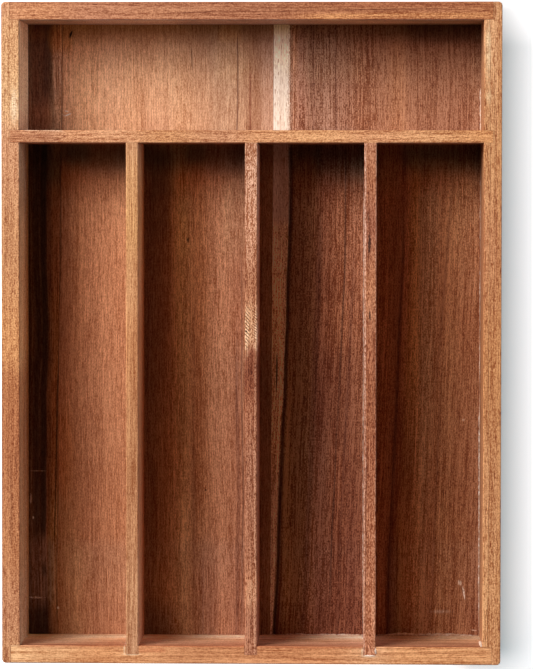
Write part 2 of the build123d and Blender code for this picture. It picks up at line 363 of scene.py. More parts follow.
frontRail = {
    "grain": "X", "seed": 4.0, "contrast": 0.9, "pores": 0.45,
    "amounts": {"figure": 1.1, "streak": 1.4, "line": 1.0, "fleck": 0.6, "speckle": 0.5, "ripple": 0.5},
    "colours": [(-124, "#e8ae7b"), (-102, "#e3a673"), (-73, "#da9461"), (-58, "#e29d6a"), (-34, "#c78356"),
                (3, "#d58d5e"), (22, "#d08859"), (37, "#da9261"), (62, "#e6a574"), (77, "#e19b66"),
                (124, "#e19c67")],
    "bands": [
        {"at": -157.2, "width": 1.0, "soft": 0.8, "along": (-108, -66, 10), "colour": "#ab5f39", "strength": 0.6},
        {"at": -158.3, "width": 2.4, "soft": 1.0, "along": (-57, -43, 3), "colour": "#b8663f", "strength": 0.6},
        {"at": -159.4, "width": 0.6, "soft": 0.5, "along": (-30, 115, 30), "colour": "#a9683d", "strength": 0.5},
        {"at": -161.6, "width": 0.6, "soft": 0.5, "along": (-110, 60, 30), "colour": "#aa6a40", "strength": 0.5},
        # a dark orange line along the inner top edge: painted shade on the rounded arris
        {"at": -156.3, "width": 0.9, "soft": 0.4, "along": (-116, 57, 3), "height": (54, 60, 1), "colour": "#b5653c",
         "strength": 0.75, "ragged": 0.3},
    ],
    "patches": [
        {"at": (-158.0, -63.2), "size": (5.0, 0.7), "colour": "#f2d2ae", "strength": 0.55, "ragged": 0.5},
        {"at": (-160.4, -59.5), "size": (1.0, 8.0), "colour": "#efc9a2", "strength": 0.7, "ragged": 0.7},
        {"at": (-160.6, 59.2), "size": (1.0, 7.0), "colour": "#f0cfae", "strength": 0.7, "ragged": 0.7},
        {"at": (-158.4, 55.6), "size": (4.0, 0.8), "colour": "#f0cfae", "strength": 0.6, "ragged": 0.7},
    ],
    # painted light and shade: the inner face paler low down and darker near the top, lighter or darker in stretches
    # along it; the outer top arris painted darker
    "paintedLightAndTone": [
        {"across": (-156.8, -140, 0.4), "height": (-5, 34, 46), "tint": (1.4, 2.0, 2.4)},
        {"across": (-156.8, -140, 0.4), "height": (34, 54.2, 20), "tint": (0.80, 0.78, 0.84)},
        {"across": (-156.8, -140, 0.4), "height": (8, 22, 6), "tint": (1.16, 1.42, 1.66)},
        {"across": (-156.8, -140, 0.4), "height": (49.5, 53.4, 1.5), "tint": (0.78, 0.62, 0.58)},
        {"across": (-156.8, -140, 0.4), "along": (-118, -80, 6), "height": (49.5, 53.4, 1.5), "tint": (0.8, 0.66, 0.6)},
        {"across": (-156.8, -140, 0.4), "along": (0, 130, 30), "height": (-5, 54.2, 1), "tint": (0.86, 0.84, 0.84)},
        {"across": (-156.8, -140, 0.4), "along": (-56, 56, 4), "height": (-5, 54.2, 1), "tint": (1.12, 1.2, 1.4)},
        {"across": (-156.8, -140, 0.4), "along": (-120, -60, 4), "height": (-5, 54.2, 1), "tint": (0.9, 0.88, 1.0)},
        {"across": (-156.8, -140, 0.4), "along": (60, 120, 4), "height": (-5, 54.2, 1), "tint": (0.9, 0.86, 0.96)},
        {"across": (-166, -164.4, 0.3), "height": (54.0, 60, 0.4), "tint": (0.6, 0.6, 0.6)},
    ],
}

# Dividers
crossDivider = {
    "grain": "X", "seed": 5.0, "contrast": 0.88, "pores": 0.75, "rippleTurn": 35.0,
    "amounts": {"figure": 0.8, "streak": 1.0, "line": 0.9, "fleck": 0.7, "speckle": 0.8, "ripple": 1.5},
    "colours": [(-120, "#be8059"), (-99, "#b67b57"), (-90, "#c7895f"), (-69, "#cc8f65"), (-43, "#c58759"),
                (-12, "#c3865f"), (3, "#ce8f62"), (32, "#d29463"), (62, "#cf8f62"), (91, "#d09262"),
                (120, "#d4915c")],
    "bands": [
        {"at": 101.0, "width": 0.7, "soft": 0.5, "along": (-113, -94, 3), "colour": "#e2b592", "strength": 0.6,
         "ragged": 0.6, "height": (54, 60, 1)},
        {"at": 98.4, "width": 1.2, "soft": 0.8, "along": (-119, -100, 6), "colour": "#8a4a2c", "strength": 0.6},
    ],
    # the front face is painted darker: painted shade
    "paintedLightAndTone": [{"across": (90, 95.7, 0.4), "height": (-5, 54.0, 0.5), "tint": (0.75, 0.72, 0.75)}],
}
leftDivider = {
    "grain": "Y", "seed": 6.0, "contrast": 0.9, "pores": 0.55,
    "amounts": {"figure": 1.0, "streak": 1.1, "line": 1.1, "fleck": 0.6, "speckle": 0.55, "ripple": 0.5},
    "colours": [(-160, "#c88e66"), (-130, "#c58a60"), (-96, "#bf8258"), (-51, "#b97c51"), (-6, "#bd7d50"),
                (24, "#c5895b"), (54, "#c68c59"), (79, "#c68d5d"), (95, "#c1895f")],
    # the right face is painted lighter: painted light
    "paintedLightAndTone": [{"across": (-56.6, -50, 0.3), "height": (-5, 54.2, 0.5), "tint": (1.14, 1.20, 1.24)}],
}
middleDivider = {
    "grain": "Y", "seed": 7.0, "pores": 0.9,
    "amounts": {"figure": 1.2, "streak": 1.9, "line": 2.2, "fleck": 1.5, "speckle": 2.0, "ripple": 1.3},
    "colours": [(-160, "#b27151"), (-144, "#ab6b4d"), (-129, "#bd7a56"), (-110, "#a76849"), (-66, "#ac6f51"),
                (-39, "#a66647"), (-27, "#905034"), (-17, "#874a30"), (-9, "#925338"), (-4, "#c98f6b"),
                (10, "#c68964"), (21, "#ac6d4b"), (52, "#cb8f6d"), (82, "#ce9676"), (95, "#c9906f")],
    "bands": [
        {"at": -2.4, "width": 0.6, "soft": 0.5, "along": (20, 92, 10), "colour": "#7e4529", "strength": 0.6},
        {"at": 0.6, "width": 0.7, "soft": 0.5, "along": (-150, -30, 20), "colour": "#7a432a", "strength": 0.6},
        # a pale line along the right arris: painted highlight
        {"at": 2.2, "width": 0.6, "soft": 0.5, "along": (-160, -10, 20), "colour": "#cf9a78", "strength": 0.4},
    ],
    "patches": [
        {"at": (-0.4, 5), "size": (6.4, 20), "height": (40, 60, 20), "colour": "#c98f66", "strength": 0.9,
         "ragged": 0.8, "soft": 0.3},
        {"at": (-3.0, 2), "size": (4.4, 22), "height": (48, 60, 8), "colour": "#eebb90", "strength": 0.8,
         "ragged": 1.6, "soft": 0.4},
        {"at": (3.0, 2), "size": (3.0, 22), "height": (48, 60, 8), "colour": "#e6b088", "strength": 0.8,
         "ragged": 1.6, "soft": 0.4},
        {"at": (-1.9, 4), "size": (3.4, 21), "height": (52, 60, 2), "colour": "#5f3219", "strength": 1.0,
         "ragged": 2.0, "soft": 0.3, "strokes": {"slope": 1.1, "period": 1.8}},
        {"at": (1.7, 5), "size": (3.0, 18), "height": (52, 60, 2), "colour": "#6b3a1e", "strength": 0.9,
         "ragged": 2.0, "soft": 0.3, "strokes": {"slope": 0.7, "period": 1.3}},
        {"at": (-2.4, 1.3), "size": (0.9, 0.9), "height": (52, 60, 2), "colour": "#2a140a", "strength": 0.9,
         "ragged": 0.2},
        {"at": (0.3, -130), "size": (4.6, 14), "colour": "#cf9770", "strength": 0.3, "ragged": 2.0, "soft": 0.3},
    ],
}
rightDivider = {
    "grain": "Y", "seed": 8.0, "pores": 0.9,
    "amounts": {"figure": 0.8, "streak": 1.1, "line": 1.4, "fleck": 1.0, "speckle": 1.3, "ripple": 1.2},
    "colours": [(-160, "#ca835f"), (-140, "#c77f5a"), (-96, "#b87350"), (-66, "#a96544"), (-36, "#a3603f"),
                (-6, "#a86443"), (9, "#b4724f"), (24, "#b6734e"), (54, "#a16145"), (79, "#aa6947"),
                (95, "#b27352")],
    "bands": [
        {"at": 57.4, "width": 0.8, "soft": 0.6, "along": (-150, -60, 16), "colour": "#6f3a26", "strength": 0.6},
        {"at": 58.4, "width": 1.0, "soft": 0.6, "along": (30, 70, 10), "colour": "#7c4530", "strength": 0.55},
        {"at": 60.6, "width": 0.6, "soft": 0.5, "along": (-60, 20, 16), "colour": "#77412b", "strength": 0.5},
        # pale lines along both top arrises: painted highlights
        {"at": 62.0, "width": 0.8, "soft": 0.5, "along": (-160, 95, 6), "height": (53, 60, 1), "colour": "#cf9876",
         "strength": 0.45, "ragged": 0.4},
        {"at": 56.6, "width": 0.7, "soft": 0.5, "along": (-160, 95, 6), "height": (53, 60, 1), "colour": "#e2b49c",
         "strength": 0.6, "ragged": 0.5},
    ],
    "patches": [
        {"at": (58.7, 45.0), "size": (1.3, 9), "colour": "#2c140c", "strength": 0.85, "ragged": 0.6},
        {"at": (59.1, 9.0), "size": (1.0, 5), "colour": "#2c140c", "strength": 0.8, "ragged": 0.6},
        {"at": (58.0, 58.0), "size": (0.8, 4), "colour": "#3a1d12", "strength": 0.6, "ragged": 0.6},
    ],
}

# Floor: a narrow board of dark heartwood, and two wide ones. Shade is painted into the floor along the feet
# of the walls: under the front of the cross divider, against the rear wall and to the right of the left
# divider. The front half is painted a little darker, and a few more tints even out the colour.
# under the cross divider the floor boards change to the colours of their rear end; on the middle board these are
# lighter, partly as painted light, the rear compartment being lit more than the long ones
rearEnd = {"along": (98, 400, 4)}
paintedFloorShadeAndTone = [
    {"along": (86.5, 95.8, 19), "tint": (0.52, 0.50, 0.50)},
    {"along": (149.5, 180, 13), "tint": (0.56, 0.47, 0.27)},
    {"across": (-104.5, -93, 3), "along": (143, 156, 8), "tint": (1.16, 1.05, 0.84)},
    {"across": (-59.3, -48.5, 15), "along": (-200, 97, 4), "tint": (0.70, 0.78, 0.84)},
    {"along": (-200, -40, 90), "tint": (0.89, 0.85, 0.83)},
    {"along": (-139, -108, 8), "tint": (1.0, 1.07, 1.16)},
    {"along": (-200, -139, 8), "tint": (0.90, 0.94, 1.02)},
]
floorLeft = {
    "grain": "Y", "seed": 9.0, "pores": 0.5, "coloursRun": "across", "sway": 0.9,
    "amounts": {"figure": 0.9, "streak": 1.4, "line": 1.2, "speckle": 0.7, "ripple": 0.6},
    "colours": [(-119, "#5e4233"), (-106.4, "#4c3428"), (-105.2, "#80543a"), (-102, "#ac724a"), (-97, "#c07f54")],
    "rearColours": [(-119, "#845439"), (-110, "#7c4c34"), (-106, "#7a4c35"), (-103.4, "#8f664a"),
                    (-101.8, "#c4926e"), (-97, "#e2aa82")],
    "bands": [
        {"at": -113.6, "width": 1.0, "soft": 0.7, "colour": "#7d5a42", "strength": 0.5},
        {"at": -111.2, "width": 2.0, "soft": 1.5, "along": (-142, 97, 6), "colour": "#38241a", "strength": 0.7},
        {"at": -109.2, "width": 0.8, "soft": 0.6, "colour": "#7a563c", "strength": 0.4},
        {"at": -107.8, "width": 2.8, "soft": 0.8, "along": (-104, 97, 5), "colour": "#23150f", "strength": 0.6},
        {"at": -111.9, "width": 3.4, "slant": 0.05, "soft": 2.0, "along": (122, 160, 12), "colour": "#573426",
         "strength": 0.75},
        {"at": -100.3, "width": 0.8, "slant": 0.0113, "soft": 0.4, "along": (-108, -10, 10), "colour": "#3c2013",
         "strength": 0.8, "ragged": 0.2},
        {"at": -108.0, "width": 12.0, "soft": 3.0, "along": (-141, -107, 8), "colour": "#8a6450", "strength": 0.45,
         "ragged": 0.8},
        {"at": -107.4, "width": 2.2, "soft": 0.8, "along": (-126, -120, 4), "colour": "#23150f", "strength": 0.7},
        {"at": -112.0, "width": 11.0, "soft": 1.0, "along": (-200, -144, 6), "colour": "#2c1b13", "strength": 0.6},
    ],
    "patches": [
        {"at": (-100.5, 150), "size": (8, 18), "colour": "#a8662c", "strength": 0.6, "ragged": 1.0},
        {"at": (-114.0, -86.5), "size": (0.9, 4.5), "colour": "#d8c8b6", "strength": 0.5, "ragged": 1.6, "soft": 0.3},
        {"at": (-112.9, -96.2), "size": (0.8, 1.4), "colour": "#e8d8c6", "strength": 0.6, "ragged": 0.8},
        {"at": (-110.4, -72.2), "size": (8, 0.5), "colour": "#c8a890", "strength": 0.4, "ragged": 0.8, "soft": 0.3},
        {"at": (-112, -137.4), "size": (6, 0.9), "colour": "#d8c8b6", "strength": 0.5, "ragged": 2.4, "soft": 0.3},
    ],
    # painted light and shade, zone by zone: darker in the left wall's shadow and under the cross divider, lighter where
    # the shade came out too deep, with tints for the wood's own tone
    "paintedLightAndTone": paintedFloorShadeAndTone + [
        {"across": (-130, -106.2, 1), "along": (-200, -85, 60), "tint": (1.4, 1.65, 2.0)},
        {"across": (-130, -105.6, 1), "along": (-139, -20, 50), "tint": (1.55, 1.6, 1.6)},
        {"across": (-105.4, -90, 1), "along": (-20, 97, 40), "tint": (0.76, 0.75, 0.78)},
        {"across": (-105.4, -90, 1), "along": (-200, -85, 50), "tint": (1.20, 1.58, 1.80)},
        {"across": (-107, -98, 3), "along": (98, 118, 10), "tint": (1.22, 1.26, 1.22)},
        {"across": (-130, -103, 2), "along": (98, 114, 8), "tint": (1.40, 1.38, 1.28)},
        {"across": (-130, -103, 2), "along": (119, 160, 12), "tint": (0.74, 0.72, 0.66)},
        {"across": (-103, -98, 1), "along": (-141, -84, 8), "tint": (1.15, 1.28, 1.42)},
        {"across": (-107.5, -97, 3), "along": (74, 97, 16), "tint": (0.58, 0.84, 0.98)},
        {"across": (-114.6, -110.6, 1), "along": (-10, 82, 16), "tint": (1.25, 1.28, 1.16)},
        {"across": (-106, -98, 1), "along": (-108, 20, 8), "tint": (1.18, 1.26, 1.12)},
        {"across": (-106.4, -102.6, 1), "along": (-141, -108, 10), "tint": (1.10, 1.28, 1.36)},
        {"across": (-106.4, -102.6, 1), "along": (-10, 16, 8), "tint": (1.28, 1.28, 1.26)},
        {"across": (-102.5, -98.4, 1), "along": (-113, -87, 6), "tint": (1.18, 1.26, 1.32)},
        {"across": (-116, -106, 2), "along": (148, 157, 5), "tint": (1.40, 1.30, 1.05)},
    ],
}
floorMiddle = {
    "grain": "Y", "seed": 10.0, "contrast": 0.8, "pores": 0.3, "coloursRun": "across", "sway": 1.0,
    "amounts": {"figure": 0.7, "streak": 0.8, "line": 0.8, "speckle": 0.75, "ripple": 0.2},
    "colours": [(-102, "#be8259"), (-92, "#d08f64"), (-84, "#d49269"), (-66, "#d08f66"), (-50, "#c8915e"),
                (-38, "#dca56d"), (-29, "#cd8857"), (-18, "#d6966e"), (-8, "#bd7e5c"), (4, "#b38868"),
                (11, "#b6906c")],
    "rearColours": [(-102, "#dfa277"), (-98, "#eeb183"), (-89, "#f3b584"), (-70, "#e3a97e"), (-62, "#dba277"),
                    (-53, "#d69d73"), (-39, "#d49f76"), (-27, "#c4906b"), (-17, "#c29472"), (-10, "#bb8c6a"),
                    (1, "#ae7c5c"), (7, "#bd8d70")],
    "bands": [
        {"at": -99.5, "width": 0.9, "slant": 0.0113, "soft": 0.4, "colour": "#5c3a26", "strength": 0.6,
         "ragged": 0.3},
        {"at": -32.0, "width": 0.7, "soft": 0.5, "along": (134, 144, 4), "colour": "#6d4026", "strength": 0.8},
        {"at": -8.3, "width": 0.8, "soft": 0.5, "along": (101, 150, 6), "colour": "#5f3428", "strength": 0.85,
         "ragged": 0.3},
        {"at": -1.6, "width": 0.9, "soft": 0.6, "along": (101, 132, 6), "colour": "#8d4e35", "strength": 0.8,
         "ragged": 0.3},
        {"at": -37.0, "width": 5.0, "soft": 3.0, "along": (-120, 80, 60), "colour": "#d59d5e", "strength": 0.4},
        {"at": -30.8, "width": 1.8, "soft": 1.4, "along": (-150, 10, 60), "colour": "#9a5a34", "strength": 0.6},
        {"at": -24.0, "width": 9.0, "soft": 7.0, "along": (-170, -110, 40), "colour": "#8d5a48", "strength": 0.55},
        {"at": -8.6, "width": 1.6, "soft": 1.2, "along": (-165, -10, 60), "colour": "#7d4a3a", "strength": 0.7},
        {"at": -6.2, "width": 0.8, "soft": 0.6, "along": (-165, 40, 60), "colour": "#5f3527", "strength": 0.6},
    ],
    "patches": [
        {"at": (-95.5, 149), "size": (7, 15), "colour": "#a5723f", "strength": 0.5, "ragged": 1.0},
        {"at": (-93.7, 151.2), "size": (1.1, 4.0), "turn": -18, "colour": "#170a04", "strength": 1.0, "ragged": 0.2},
        {"at": (-95.2, 110.2), "size": (3.2, 0.6), "turn": 22, "colour": "#fff4e6", "strength": 1.0, "ragged": 0.5},
        {"at": (-95.9, 112.0), "size": (2.0, 0.5), "turn": -12, "colour": "#fff0de", "strength": 0.9, "ragged": 0.5},
        {"at": (-97.3, 109.9), "size": (2.4, 0.6), "turn": -30, "colour": "#f7d8ba", "strength": 0.7, "ragged": 0.6},
        {"at": (-96.5, -62), "size": (9, 46), "colour": "#d68a4e", "strength": 0.5, "ragged": 0.8},
        {"at": (-34.0, 46.4), "size": (1.0, 2.4), "colour": "#2b140a", "strength": 0.8, "ragged": 0.3},
        {"at": (-25.3, -81.8), "size": (1.0, 1.0), "colour": "#5a2f1b", "strength": 0.8, "ragged": 0.3},
        {"at": (-100.7, -142.6), "size": (1.0, 1.2), "colour": "#fff0de", "strength": 0.8, "ragged": 0.5},
    ],
    "contrasts": [{"across": (-59, 20, 2), "along": (-200, 97, 4), "gain": 1.3},
                  {"along": (98, 200, 4), "gain": 0.88}],
    # painted light and shade, zone by zone: darker under the cross divider, in the shadows of the left wall and the
    # left divider and next to the middle divider, lighter in places, with tints for the wood's own tone
    "paintedLightAndTone": paintedFloorShadeAndTone + [
        {"across": (2.0, 30, 3), "along": (-200, 97, 4), "tint": (0.93, 0.86, 0.70)},
        {"across": (-106, -93, 12), "along": (-20, 97, 40), "tint": (0.76, 0.75, 0.78)},
        {"across": (-106, -92, 10), "along": (-200, -85, 50), "tint": (1.14, 1.38, 1.40)},
        {"across": (-97, 2, 6), "along": (82, 97, 14), "tint": (0.52, 0.66, 0.78)},
        {"across": (-53, -43.5, 4), "along": (48, 86, 16), "tint": (0.80, 0.80, 0.82)},
        {"across": (-45, -33, 4), "along": (40, 60, 10), "tint": (1.15, 1.22, 1.22)},
        {"across": (-53, -40, 4), "along": (68, 90, 8), "tint": (0.76, 0.80, 0.82)},
        {"across": (-41, -33, 3), "along": (-113, -60, 14), "tint": (1.15, 1.17, 1.22)},
        {"across": (-18, -7, 3), "along": (148, 158, 5), "tint": (1.22, 1.20, 1.04)},
        {"across": (-93, -78, 5), "along": (147, 158, 6), "tint": (0.84, 0.82, 0.76)},
        {"across": (-35, -25, 5), "along": (86, 97, 6), "tint": (0.62, 0.72, 0.80)},
        {"across": (-107, -84, 5), "along": (86, 97, 8), "tint": (0.56, 0.68, 0.80)},
        {"across": (-92.5, -83.5, 4), "along": (-200, -110, 14), "tint": (1.20, 1.32, 1.34)},
        {"across": (-95, -62, 8), "along": (-200, -110, 20), "tint": (0.92, 0.94, 0.94)},
        {"across": (-57, -41.5, 8), "along": (-30, 97, 80), "tint": (0.66, 0.59, 0.66)},
        {"across": (-57, -41.5, 8), "along": (-200, -142, 14), "tint": (0.72, 0.80, 0.96)},
        {"across": (-46, -24, 10), "along": (-200, -85, 50), "tint": (1.05, 1.22, 1.42)},
        {"across": (-16, -2, 6), "along": (40, 82, 20), "tint": (1.02, 1.14, 1.16)},
        {"across": (-19, -1, 6), "along": (128, 150, 10), "tint": (1.15, 1.18, 1.14)},
    ],
}
floorRight = {
    "grain": "Y", "seed": 11.0, "pores": 0.7, "coloursRun": "across", "sway": 0.8,
    "lean": {"slope": 0.042, "along": (-165.0, 40.0)},
    "amounts": {"figure": 1.2, "streak": 1.3, "line": 1.2, "speckle": 1.0, "ripple": 0.6},
    "colours": [(8, "#a87a54"), (18, "#9a6b46"), (29, "#8c5838"), (36, "#a06245"), (48, "#a8694a"),
                (57, "#ae6e4d"), (68, "#bc7850"), (77, "#a06446"), (82, "#b47e52"),
                (90, "#cc9466"), (97, "#bd7c50"), (101, "#c58658"), (110, "#b8784f"), (124, "#ad6e4b")],
    "rearColours": [(8, "#b08667"), (20, "#ad785c"), (24, "#a06c54"), (29, "#92634b"), (37, "#9b6c54"),
                    (45, "#98664d"), (54, "#a36c4f"), (64, "#a87153"), (73, "#ae7553"), (80, "#a16c4f"),
                    (100, "#9e6b4f"), (119, "#9b694f")],
    "bands": [
        # the cream sapwood stripe along the seam; its colour is pushed paler than the wood, painted light that lifts
        # the middle divider's shade
        {"at": 7.6, "width": 19.4, "soft": 1.0, "along": (-200, 60, 10), "colour": "#ffe2b8",
         "strength": 1.0, "ragged": 0.1, "calm": 0.5},
        {"at": 9.9, "width": 15.6, "soft": 3.0, "along": (55, 200, 10), "colour": "#f5e2cd",
         "strength": 1.0, "ragged": 0.12, "calm": 0.88},
        {"at": 18.3, "width": 1.7, "soft": 1.5, "along": (-165, 95, 6), "colour": "#2c170d",
         "strength": 0.85, "ragged": 0.3},
        {"at": 18.9, "width": 1.2, "soft": 0.9, "along": (98, 160, 6), "colour": "#7c4f3a", "strength": 0.5},
        {"at": 12.4, "width": 0.7, "slant": 0.008, "soft": 0.5, "along": (98, 160, 6), "colour": "#c89c78",
         "strength": 0.5},
        {"at": 14.6, "width": 0.6, "soft": 0.5, "along": (98, 160, 6), "colour": "#c89c78", "strength": 0.4},
        {"at": 40.8, "width": 1.2, "soft": 1.0, "along": (98, 165, 6), "colour": "#6d4234", "strength": 0.5},
        {"at": 30.0, "width": 1.2, "soft": 1.0, "along": (98, 165, 6), "colour": "#7c4c3b", "strength": 0.5},
        {"at": 33.0, "width": 3.0, "soft": 2.4, "along": (-165, 60, 40), "colour": "#5d2f22", "strength": 0.6},
        {"at": 46.0, "width": 0.9, "soft": 0.7, "along": (-140, 97, 30), "colour": "#40201a", "strength": 0.7},
        {"at": 50.5, "width": 1.6, "soft": 1.2, "along": (-165, 30, 40), "colour": "#6a3628", "strength": 0.5},
        {"at": 76.0, "width": 1.6, "soft": 1.2, "along": (-165, 60, 30), "colour": "#55291a", "strength": 0.75},
        {"at": 97.2, "width": 1.2, "slant": 0.05, "soft": 1.0, "along": (-30, 75, 30), "colour": "#85492d",
         "strength": 0.6},
        {"at": 98.4, "width": 1.2, "soft": 1.0, "along": (-150, -30, 30), "colour": "#85492d", "strength": 0.6},
    ],
    "patches": [
        {"at": (13.6, -21.5), "size": (0.9, 20), "colour": "#1f0f08", "strength": 0.85, "ragged": 0.3},
        {"at": (114.7, -134.0), "size": (0.9, 7), "turn": 12, "colour": "#f6dcc0", "strength": 0.8, "ragged": 1.4,
         "soft": 0.3},
        {"at": (112.6, -129.0), "size": (1.8, 3), "turn": 20, "colour": "#f6dcc0", "strength": 0.7, "ragged": 1.4,
         "soft": 0.3},
        {"at": (103.3, -143.8), "size": (9, 1.7), "colour": "#eccdb0", "strength": 0.55, "ragged": 3.0, "soft": 0.3},
        {"at": (111.2, -45.4), "size": (1.2, 1.2), "colour": "#efcfae", "strength": 0.6, "ragged": 0.8},
    ],
    "contrasts": [{"across": (8, 62, 2), "along": (-200, 97, 4), "gain": 2.0},
                  {"across": (62, 119, 2), "along": (-200, 97, 4), "gain": 1.08},
                  {"across": (17, 62, 4), "along": (98, 200, 4), "gain": 1.6}],
    # painted light and shade, zone by zone: darker under the cross divider and against the rear wall, lighter where the
    # dividers' shadows fall, with tints for the wood's own tone
    "paintedLightAndTone": paintedFloorShadeAndTone + [
        {"across": (30, 62, 4), "along": (30, 97, 60), "tint": (1.30, 1.42, 1.50)},
        {"across": (19, 62, 4), "along": (-200, -20, 100), "tint": (0.86, 0.83, 0.85)},
        {"across": (62, 75, 4), "along": (-200, 97, 4), "tint": (1.16, 1.18, 1.00)},
        {"across": (68, 75, 4), "along": (-200, -110, 40), "tint": (0.76, 0.86, 1.04)},
        {"across": (75, 84, 3), "along": (-40, 90, 50), "tint": (1.28, 1.34, 1.24)},
        {"across": (95, 113, 8), "along": (-90, 40, 40), "tint": (0.88, 0.81, 0.79)},
        {"across": (31, 62, 6), "along": (78, 97, 18), "tint": (0.52, 0.78, 0.94)},
        {"across": (18, 34, 4), "along": (80, 97, 14), "tint": (0.72, 0.94, 1.04)},
        {"across": (7, 14.5, 2), "along": (-70, 30, 30), "tint": (1.20, 1.20, 1.06)},
        {"across": (9, 20, 4), "along": (148, 158, 6), "tint": (1.28, 1.38, 1.60)},
        {"across": (38, 74, 6), "along": (152.5, 158, 3), "tint": (1.22, 1.32, 1.50)},
        {"across": (75, 120, 6), "along": (82, 97, 14), "tint": (0.50, 0.74, 0.86)},
        {"across": (14, 39, 5), "along": (-148, -50, 30), "tint": (1.14, 1.34, 1.46)},
        {"across": (31, 46, 5), "along": (-125, -30, 40), "tint": (1.12, 1.16, 1.14)},
        {"across": (74, 85, 3), "along": (-145, 90, 20), "tint": (1.13, 1.13, 1.08)},
        {"across": (104, 114, 4), "along": (15, 80, 20), "tint": (1.08, 1.17, 1.22)},
        {"across": (82, 112, 10), "along": (146, 158, 8), "tint": (0.70, 0.62, 0.60)},
        {"across": (22, 47, 4), "along": (88, 97, 5), "tint": (0.74, 0.76, 0.84)},
        {"across": (62, 74, 4), "along": (72, 97, 14), "tint": (0.84, 0.97, 1.0)},
        {"across": (38, 46, 3), "along": (-90, -60, 10), "tint": (1.16, 1.19, 1.18)},
        {"across": (31, 53, 4), "along": (-10, 16, 10), "tint": (1.14, 1.18, 1.18)},
        {"across": (84, 105, 4), "along": (88, 97, 4), "tint": (0.78, 0.79, 0.82)},
        {"across": (68.5, 74.5, 2), "along": (-10, 60, 20), "tint": (0.86, 0.86, 0.88)},
        {"across": (75, 84, 3), "along": (40, 60, 10), "tint": (1.12, 1.22, 1.26)},
        {"across": (105, 112, 3), "along": (70, 90, 8), "tint": (1.15, 1.16, 1.12)},
        {"across": (23, 55, 6), "along": (128, 152, 8), "tint": (1.07, 1.13, 1.10)},
        {"across": (15, 31, 5), "along": (-300, -10, 70), "tint": (1.46, 1.72, 1.58)},
        {"across": (24, 48, 8), "along": (-20, 80, 40), "tint": (1.12, 1.14, 1.08)},
        {"across": (47, 62, 4), "along": (-200, -80, 60), "tint": (0.82, 0.78, 0.81)},
        {"across": (58, 120, 40), "along": (150, 180, 12), "tint": (0.58, 0.78, 1.10)},
        {"across": (9.5, 22, 3), "along": (134, 180, 16), "tint": (1.30, 1.32, 1.20)},
        {"across": (110, 120, 5), "along": (98, 140, 8), "tint": (1.14, 1.24, 1.24)},
        {"across": (78, 119, 4), "along": (0, 97, 80), "tint": (1.08, 1.08, 1.12)},
        {"across": (78, 119, 4), "along": (-200, -20, 80), "tint": (1.10, 1.18, 1.26)},
    ],
}

boards = {
    "left_side": ("oiledAcaciaLeftSide", leftSide),
    "right_side": ("oiledAcaciaRightSide", rightSide),
    "rear_rail": ("oiledAcaciaRearRail", rearRail),
    "front_rail": ("oiledAcaciaFrontRail", frontRail),
    "cross_divider": ("oiledAcaciaCrossDivider", crossDivider),
    "left_divider": ("oiledAcaciaLeftDivider", leftDivider),
    "middle_divider": ("oiledAcaciaMiddleDivider", middleDivider),
    "right_divider": ("oiledAcaciaRightDivider", rightDivider),
    "floor_strip_left": ("oiledAcaciaFloorLeft", floorLeft),
    "floor_board_middle": ("oiledAcaciaFloorMiddle", floorMiddle),
    "floor_board_right": ("oiledAcaciaFloorRight", floorRight),
}
for node, (name, wood) in boards.items():
    dress(node, acaciaWood(name, wood))
print("boards dressed:", len(boards))


# Panel pins: bright drawn steel wire, smooth and grey, with faint lines along it
steelPin = {"colour": "#8f9092", "roughness": 0.32}


def drawnSteel(name, pin):
    material = bpy.data.materials.new(name)
    material.use_nodes = True
    tree = material.node_tree
    tree.nodes.clear()
    coords = addNode(tree, "ShaderNodeTexCoord").outputs["Object"]
    inputs = {"Vector": coords, "Scale": 4000.0, "Detail": 1.0}
    lines = addNode(tree, "ShaderNodeTexNoise", None, inputs).outputs[0]
    limits = {"Value": lines, "To Min": pin["roughness"] - 0.1, "To Max": pin["roughness"] + 0.15}
    rough = addNode(tree, "ShaderNodeMapRange", None, limits).outputs[0]
    inputs = {"Base Color": toLinear(pin["colour"]), "Metallic": 1.0, "Roughness": rough}
    surface = addNode(tree, "ShaderNodeBsdfPrincipled", None, inputs).outputs[0]
    addNode(tree, "ShaderNodeOutputMaterial", None, {0: surface})
    return material


steel = drawnSteel("drawnSteelWire", steelPin)
for node in ("corner_pins", "divider_pins"):
    dress(node, steel)
print("pins dressed")


def finishPiece(name, shape, material):
    # a mesh in millimetres becomes a piece in metres that rides on the tray
    bmesh.ops.recalc_face_normals(shape, faces=shape.faces)
    bmesh.ops.scale(shape, verts=shape.verts, vec=(millimetre,) * 3)
    mesh = bpy.data.meshes.new(name)
    shape.to_mesh(mesh)
    shape.free()
    mesh.materials.append(material)
    mesh.shade_smooth()
    piece = bpy.data.objects.new(name, mesh)
    bpy.context.scene.collection.objects.link(piece)
    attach(piece, "root")
    return piece


